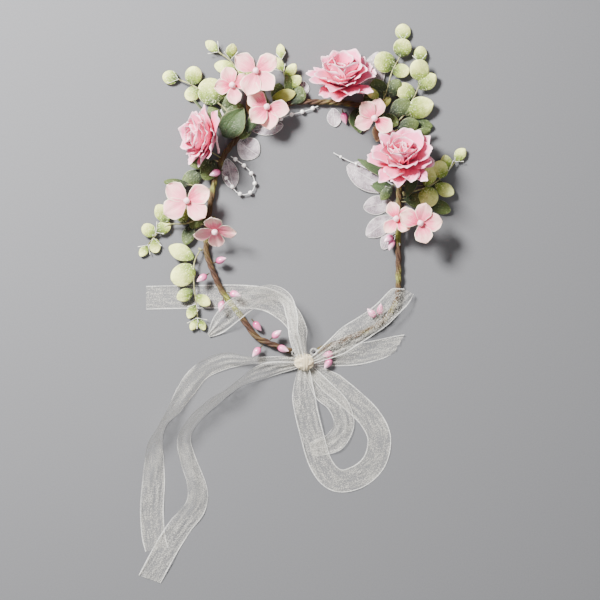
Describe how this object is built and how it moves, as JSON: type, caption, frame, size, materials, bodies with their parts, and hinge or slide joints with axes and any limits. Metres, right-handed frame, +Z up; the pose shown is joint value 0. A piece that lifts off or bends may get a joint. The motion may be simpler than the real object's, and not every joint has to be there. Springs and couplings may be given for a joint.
{
  "type": "flower crown",
  "caption": "Open wire flower crown with artificial peonies, small blossoms, eucalyptus sprigs, pearl strands and organza ribbons tied in a bow at the back.",
  "frame": {"origin": "centre of the head opening, on the surface that the crown lies on", "axes": "+Z up out of the surface, +Y towards the flowered front of the crown, -Y towards the bow, +X to the right seen from above"},
  "size_m": [0.2773, 0.4732, 0.0458],
  "materials": {
    "steel_wire": "satin",
    "floral_tape": "waxed crepe tape, dark brown with green stretches",
    "peony_fabric": "matte, pale at the rim",
    "peony_heart": "matte",
    "blossom_fabric": "matte, pink at the throat",
    "blossom_stem": "matte",
    "eucalyptus_leaf": "frosted, granular",
    "rose_leaf": "matte, red-brown edge",
    "organza_leaf": "sheer",
    "bud_gloss": "gloss",
    "clear_line": "clear",
    "pearl": "pearl lustre",
    "ribbon_organza": "sheer, with a brighter selvage"
  },
  "bodies": {
    "root": {"band_core_wire": "steel_wire", "band_tape_wrap": "floral_tape", "blossom_top_back_petals": "blossom_fabric", "blossom_top_back_stem": "blossom_stem", "blossom_top_inner_petals": "blossom_fabric", "blossom_top_inner_stem": "blossom_stem", "blossom_right_inner_petals": "blossom_fabric", "blossom_right_inner_stem": "blossom_stem", "sprig_centre": "eucalyptus_leaf", "rose_leaves_left": "rose_leaf", "rose_leaves_right": "rose_leaf", "organza_leaves_left": "organza_leaf", "organza_leaves_right": "organza_leaf", "organza_leaves_top": "organza_leaf", "buds_band": "bud_gloss", "pearl_line_left": "clear_line", "pearl_beads_left": "pearl", "pearl_line_top": "clear_line", "pearl_beads_top": "pearl", "pearl_line_right": "clear_line", "pearl_beads_right": "pearl", "bow_knot": "ribbon_organza", "bow_loops_lower": "ribbon_organza", "ribbon_tail_upper_flat": "ribbon_organza", "ribbon_tail_upper_over": "ribbon_organza", "ribbon_tail_lower_outer": "ribbon_organza", "ribbon_tail_lower_inner": "ribbon_organza"},
    "peony_top": {"peony_top_outer_petals": "peony_fabric", "peony_top_middle_petals": "peony_fabric", "peony_top_inner_petals": "peony_fabric", "peony_top_heart": "peony_heart"},
    "peony_right": {"peony_right_outer_petals": "peony_fabric", "peony_right_middle_petals": "peony_fabric", "peony_right_inner_petals": "peony_fabric", "peony_right_heart": "peony_heart"},
    "peony_left": {"peony_left_outer_petals": "peony_fabric", "peony_left_middle_petals": "peony_fabric", "peony_left_inner_petals": "peony_fabric", "peony_left_heart": "peony_heart"},
    "blossom_top": {"blossom_top_petals": "blossom_fabric", "blossom_top_stem": "blossom_stem"},
    "blossom_left": {"blossom_left_petals": "blossom_fabric", "blossom_left_stem": "blossom_stem"},
    "blossom_right": {"blossom_right_petals": "blossom_fabric", "blossom_right_stem": "blossom_stem"},
    "blossom_top_right": {"blossom_top_right_petals": "blossom_fabric", "blossom_top_right_stem": "blossom_stem"},
    "blossom_left_side": {"blossom_left_side_petals": "blossom_fabric", "blossom_left_side_stem": "blossom_stem"},
    "sprig_top_left": {"sprig_top_left": "eucalyptus_leaf"},
    "sprig_top": {"sprig_top": "eucalyptus_leaf"},
    "sprig_left": {"sprig_left": "eucalyptus_leaf"},
    "sprig_lower_left": {"sprig_lower_left": "eucalyptus_leaf"},
    "sprig_top_right": {"sprig_top_right": "eucalyptus_leaf"},
    "sprig_upper_right": {"sprig_upper_right": "eucalyptus_leaf"},
    "sprig_right": {"sprig_right": "eucalyptus_leaf"},
    "right_arm": {"right_arm_core_wire": "steel_wire", "right_arm_tape_wrap": "floral_tape", "buds_right_arm": "bud_gloss", "bow_loops_right": "ribbon_organza"}
  },
  "joints": [
    {"name": "right_arm_flex", "type": "hinge", "parent": "root", "child": "right_arm", "pos_m": [0.082, -0.016, 0.0036], "axis": [0, 0, 1], "range_deg": [0, 4]},
    {"name": "peony_top_tilt", "type": "hinge", "parent": "root", "child": "peony_top", "pos_m": [0.034, 0.1092, 0.005], "axis": [1, 0, 0], "range_deg": [-2, 12]},
    {"name": "peony_right_tilt", "type": "hinge", "parent": "root", "child": "peony_right", "pos_m": [0.0868, 0.042, 0.0062], "axis": [1, 0, 0], "range_deg": [-2, 12]},
    {"name": "peony_left_tilt", "type": "hinge", "parent": "root", "child": "peony_left", "pos_m": [-0.07, 0.063, 0.008], "axis": [0, 1, 0], "range_deg": [-2, 12]},
    {"name": "blossom_top_tilt", "type": "hinge", "parent": "root", "child": "blossom_top", "pos_m": [-0.0275, 0.101, 0.0072], "axis": [0.8192, 0.5736, 0], "range_deg": [-10, 10]},
    {"name": "blossom_left_tilt", "type": "hinge", "parent": "root", "child": "blossom_left", "pos_m": [-0.0815, 0.015, 0.0074], "axis": [0.1736, 0.9848, 0], "range_deg": [-10, 10]},
    {"name": "blossom_right_tilt", "type": "hinge", "parent": "root", "child": "blossom_right", "pos_m": [0.0856, -0.003, 0.0062], "axis": [0, 1, 0], "range_deg": [-10, 10]},
    {"name": "blossom_top_right_tilt", "type": "hinge", "parent": "root", "child": "blossom_top_right", "pos_m": [0.0665, 0.0845, 0.0056], "axis": [-0.7071, 0.7071, 0], "range_deg": [-8, 8]},
    {"name": "blossom_left_side_tilt", "type": "hinge", "parent": "root", "child": "blossom_left_side", "pos_m": [-0.0742, 0.006, 0.0052], "axis": [0.1736, 0.9848, 0], "range_deg": [-2, 10]},
    {"name": "sprig_top_left_lift", "type": "hinge", "parent": "root", "child": "sprig_top_left", "pos_m": [-0.0545, 0.0795, 0.0045], "axis": [0.9191, 0.3939, 0], "range_deg": [0, 8]},
    {"name": "sprig_top_lift", "type": "hinge", "parent": "root", "child": "sprig_top", "pos_m": [-0.0365, 0.0955, 0.005], "axis": [0.9104, 0.4138, 0], "range_deg": [0, 8]},
    {"name": "sprig_left_lift", "type": "hinge", "parent": "root", "child": "sprig_left", "pos_m": [-0.0835, 0.008, 0.005], "axis": [-0.4347, 0.9006, 0], "range_deg": [0, 10]},
    {"name": "sprig_lower_left_lift", "type": "hinge", "parent": "root", "child": "sprig_lower_left", "pos_m": [-0.0855, -0.02, 0.005], "axis": [-0.8762, 0.4819, 0], "range_deg": [0, 20]},
    {"name": "sprig_top_right_lift", "type": "hinge", "parent": "root", "child": "sprig_top_right", "pos_m": [0.0655, 0.0995, 0.005], "axis": [0.901, -0.4338, 0], "range_deg": [0, 15]},
    {"name": "sprig_upper_right_lift", "type": "hinge", "parent": "root", "child": "sprig_upper_right", "pos_m": [0.0765, 0.0845, 0.005], "axis": [0.6292, -0.7772, 0], "range_deg": [0, 12]},
    {"name": "sprig_right_lift", "type": "hinge", "parent": "root", "child": "sprig_right", "pos_m": [0.0865, 0.027, 0.005], "axis": [0.2334, -0.9724, 0], "range_deg": [0, 12]}
  ]
}
